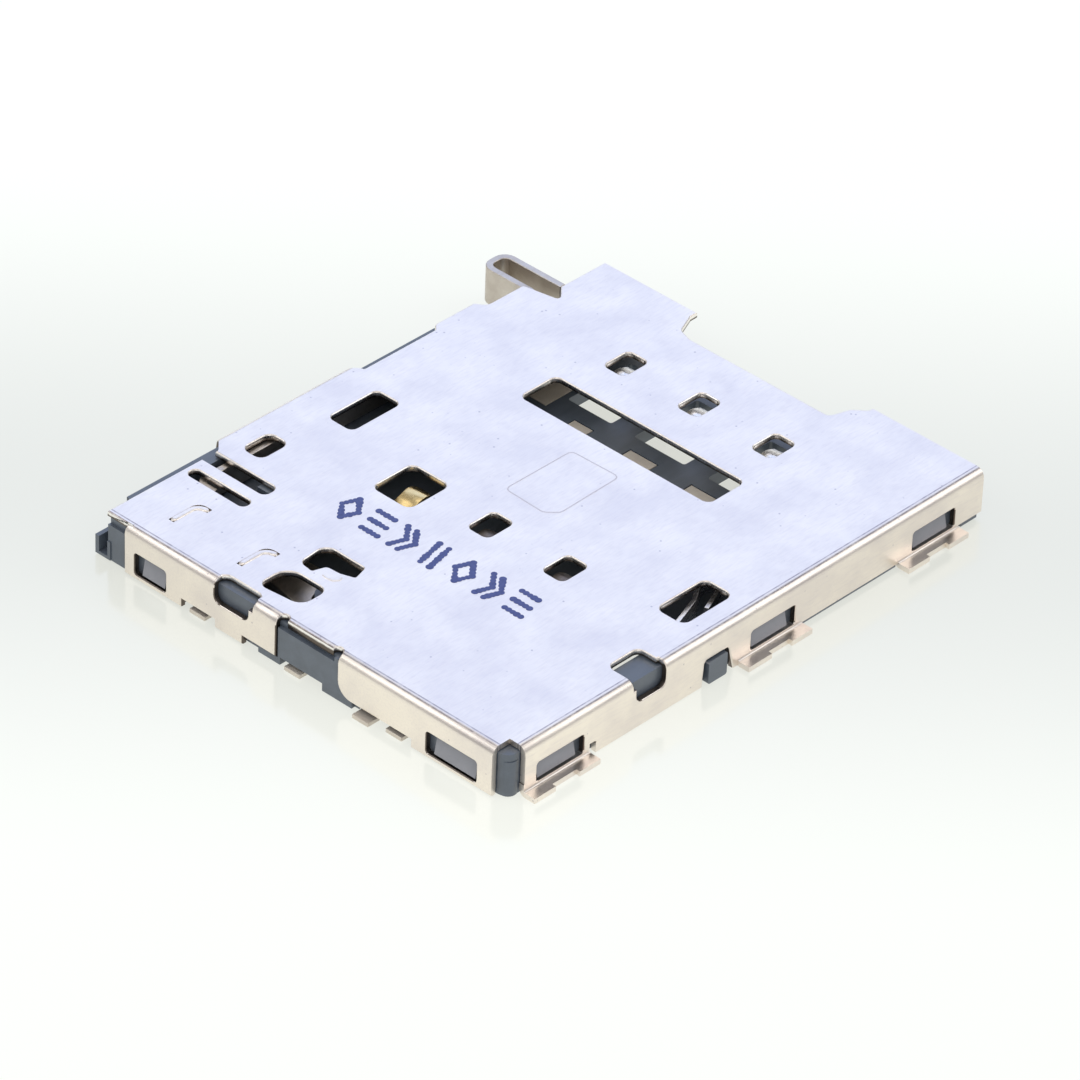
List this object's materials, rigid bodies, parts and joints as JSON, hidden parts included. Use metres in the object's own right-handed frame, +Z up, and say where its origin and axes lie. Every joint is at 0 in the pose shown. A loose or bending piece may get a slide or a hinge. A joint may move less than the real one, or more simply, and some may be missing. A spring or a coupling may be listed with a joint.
{
  "type": "sim card socket",
  "caption": "Low surface-mount SIM card socket: folded metal cover over a moulded housing, spring contacts, tray mouth at the back and a side push rod that turns an eject lever.",
  "frame": {"origin": "middle of the body's outline on the solder plane, the underside of the feet and tails", "axes": "+Z up out of the circuit board, +Y towards the mouth where the card tray goes in, -X the side of the push rod"},
  "size_m": [0.0158, 0.0174, 0.0014],
  "materials": {
    "stainless_cover": "satin rolled sheet",
    "moulded_polymer": "matte moulding",
    "gold_plated_bronze": "smooth plating",
    "stamped_steel": "stamped, unpolished"
  },
  "bodies": {
    "socket_body": {"cover_shell": "stainless_cover", "housing": "moulded_polymer", "card_contact_c1": "gold_plated_bronze", "card_contact_c2": "gold_plated_bronze", "card_contact_c3": "gold_plated_bronze", "card_contact_c5": "gold_plated_bronze", "card_contact_c6": "gold_plated_bronze", "card_contact_c7": "gold_plated_bronze", "detect_switch_spring": "gold_plated_bronze", "detect_switch_contact": "gold_plated_bronze", "floor_insert": "stamped_steel", "floor_insert_c1": "stamped_steel", "floor_insert_c2": "stamped_steel", "floor_insert_c3": "stamped_steel"},
    "rod_body": {"push_rod": "stamped_steel"},
    "lever_body": {"eject_lever": "stamped_steel"}
  },
  "joints": [
    {"name": "rod_slide", "type": "slide", "parent": "socket_body", "child": "rod_body", "axis": [0, -1, 0], "range_m": [0, 0.0014]},
    {"name": "lever_pivot", "type": "hinge", "parent": "socket_body", "child": "lever_body", "pos_m": [-0.00092, -0.00649, 0.00066], "axis": [0, 0, 1], "range_deg": [0, 16.7]}
  ],
  "couplings": [
    {"joint": "lever_pivot", "follows": "rod_slide", "rad_per_m": 208}
  ]
}
